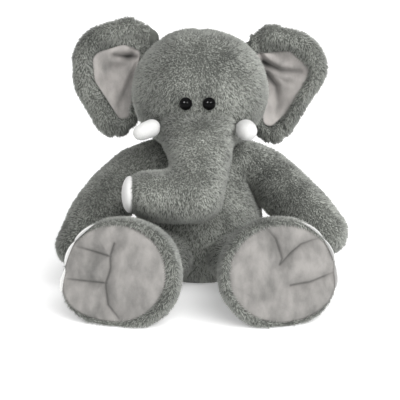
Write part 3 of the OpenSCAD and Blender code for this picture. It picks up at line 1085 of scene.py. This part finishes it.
def makeEars():
    for side, sign in sides:
        hinge = jointPlaces[side + "_ear_flap"]
        drop = earLook["drop"][side]

        def place(out, up, front):
            return Vector((hinge.x + sign * out, hinge.y - front, hinge.z + up - drop))

        def flatOf(at):
            return np.column_stack([(at[:, 0] - hinge.x) * sign, at[:, 2] - hinge.z + drop])

        rim = earOutline(earBalls[side], earLook["rim"], 44)
        balls = []
        for out, up in rim:
            size = earLook["rim"] if out > -0.002 else earLook["rim"] * 0.7
            balls.append((place(out, up, 0.001), size))
        bm = bmesh.new()
        chainBalls(bm, balls + balls[:1])
        wrapBalls(bm, [(place(out, up, -0.0045), earLook["middle"]) for out, up in rim[::2]])
        ear = newPiece(side + "_ear_plush", bm)
        meltTogether(ear, earLook["voxel"], 3)
        puff(ear, earLook["fabric"])
        subdivide(ear)
        lump(ear, 0.0012, 0.022, 2.7 + sign)
        # the plush lies lower under the lining than round it
        edge = earOutline(liningBalls[side], 0, 60)
        points = pointsOf(ear.data)
        depth = insideBy(flatOf(points), edge)
        front = hinge.y - points[:, 1]
        bed = earLook["bed"]["rise"] * np.clip(1 - depth / 0.004, 0, 1) - earLook["bed"]["depth"]
        under = (front > -0.0065) & (depth > 0)
        points[under, 1] = hinge.y - np.minimum(front, bed)[under]
        setPoints(ear.data, points)

        def toPleat(at):
            return np.min([distanceToLine(flatOf(at) * 1000, pleat) for pleat in earPleats], axis=0) / 1000

        crease(ear, **earLook["pleat"], distance=toPleat)

        def isBare(at):
            lined = (insideBy(flatOf(at), edge) > 0.0012) & (hinge.y - at[:, 1] > -0.0065)
            return lined | (np.abs(at[:, 0]) < earLook["bareInside"])

        plantPile(ear, 50 + sign, isBare=isBare)
        dress(ear, plushFinish, side + "_ear")
        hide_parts(side + "_ear_back", side + "_ear_padding")
        makeLining(side, sign, place)
    print("ears ready")


def makeLining(side, sign, place):
    outline = earOutline(liningBalls[side], 0, 180)
    middle = outline.mean(axis=0)
    turns = np.arctan2(outline[:, 1] - middle[1], outline[:, 0] - middle[0])
    order = np.argsort(turns)
    reach = np.linalg.norm(outline - middle, axis=1)[order]
    lining, flat, far = roundGrid(side + "_ear_satin", 80)
    angle = np.arctan2(flat[:, 1], flat[:, 0])
    stretch = far * np.interp(angle, turns[order], reach, period=math.tau)
    spread = middle + flat / np.maximum(far, 1e-9)[:, None] * stretch[:, None]
    # pleats fan out from the top of the root
    gather = np.array([-0.012, 0.042])
    away = spread - gather
    fan = np.arctan2(away[:, 0], -away[:, 1])
    distance = np.linalg.norm(away, axis=1)
    fade = np.exp(-distance / 0.05) * np.clip(distance / 0.008, 0, 1)
    wave = np.sin(fan * 8 + 1.2 * sign)
    front = 0.0015 + 0.0035 * far ** 3 + 0.0022 * wave * fade
    # the sharper folds: a ridge beside a groove
    line = np.min([distanceToLine(spread * 1000, fold) for fold in liningFolds[side]], axis=0) / 1000
    sharp = np.clip(1.25 - distance / 0.07, 0.2, 1) * (1 - far ** 6)
    ridge = 0.0022 * np.exp(-((line - 0.006) / 0.004) ** 2)
    front += sharp * (ridge - 0.0036 * np.exp(-(line / 0.0028) ** 2))
    spots = np.column_stack([spread, np.full(len(spread), 0.2 * sign)])
    front += 0.0018 * softNoise(spots, 0.02, 3.3)
    points = np.array([place(out, up, fore) for (out, up), fore in zip(spread, front)])
    setPoints(lining.data, points)
    # painted shade along the folds, in the hollows of the pleats and in the groove at the rim
    shadow = 0.55 * np.exp(-(line / 0.0018) ** 2) + 0.42 * np.exp(-(line / 0.012) ** 2)
    pleatHollowShade = 0.4 * np.clip(-wave, 0, 1) * fade
    paintFoldShade(lining, 1 - sharp * shadow - pleatHollowShade - 0.5 * np.clip((far - 0.95) / 0.05, 0, 1))
    if np.mean([face.normal.y for face in lining.data.polygons]) > 0:
        lining.data.flip_normals()
    thicken(lining, liningLook["thickness"])
    dress(lining, earSatin, side + "_ear")
    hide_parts(side + "_ear_lining")


# tail
tailLook = {
    "voxel": 0.002,
    "radii": {"root": 0.0085, "middle": 0.0065, "end": 0.006, "tuft": 0.0075, "tip": 0.005},
    "lay": (0, 1, -0.4),
}


def makeTail():
    root = jointPlaces["tail_swing"]
    end = middleOf("tail_tuft")
    radii = tailLook["radii"]
    bm = bmesh.new()
    chainBalls(bm, [
        (root - Vector((0, 0.008, 0)), radii["root"]),
        (root.lerp(end, 0.5) + Vector((0, 0, 0.002)), radii["middle"]),
        (root.lerp(end, 0.92), radii["end"]),
    ])
    tail = newPiece("tail_plush", bm)
    meltTogether(tail, tailLook["voxel"], 4)
    plantPile(tail, 61, lay=tailLook["lay"])
    dress(tail, plushFinish, "tail")
    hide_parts("tail_cover")
    bm = bmesh.new()
    chainBalls(bm, [(end, radii["tuft"]), (end + (end - root).normalized() * 0.008, radii["tip"])])
    tuft = newPiece("tail_tuft_plush", bm)
    meltTogether(tuft, tailLook["voxel"], 2)
    plantPile(tuft, 62, kind="tuft", lay=tailLook["lay"])
    dress(tuft, plushFinish, "tail")
    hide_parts("tail_tuft")


# toenails
nailLook = {
    "across": 0.0125,
    "back": 0.009,
    "thick": 0.0014,
    "lift": 0.022,
    "behindSole": 0.0055,
    "wall": 0.0526,
    "bend": 0.051,
    "turns": {"left": (45, 18, -11), "right": (50, 22, -6)},
}


def makeNails():
    for side, sign in sides:
        bm = bmesh.new()
        for degrees in nailLook["turns"][side]:
            for vert in bmesh.ops.create_uvsphere(bm, u_segments=28, v_segments=16, radius=1)["verts"]:
                # the pad lies on the side wall and bends round the foot
                angle = math.radians(degrees) + vert.co.y * nailLook["across"] / nailLook["bend"]
                wide = math.cos(angle) * nailLook["wall"]
                tall = math.sin(angle) * nailLook["wall"] * footLook["height"]
                grow = 1 + vert.co.x * nailLook["thick"] / nailLook["bend"] + nailLook["lift"]
                behind = vert.co.z * nailLook["back"] - nailLook["behindSole"]
                vert.co = Vector((wide * grow, tall * grow, behind)) + Vector(footLook["shift"])
                vert.co.x *= heelStretch(side, np.array([vert.co]))[0]
        bmesh.ops.recalc_face_normals(bm, faces=bm.faces)
        bmesh.ops.transform(bm, matrix=footPlace(side, sign), verts=bm.verts)
        nails = newPiece(side + "_toenails_felt", bm)
        shadeSmooth(nails)
        dress(nails, feltFinish, side + "_foot")
        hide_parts(side + "_toenails")


buildStudio()
makeHead()
makeTorso()
makeSeat()
print("head and torso ready")
makeTrunk()
makeEyes()
makeTusks()
print("face ready")
makeArms()
makeLegsAndFeet()
makeEars()
makeTail()
makeNails()
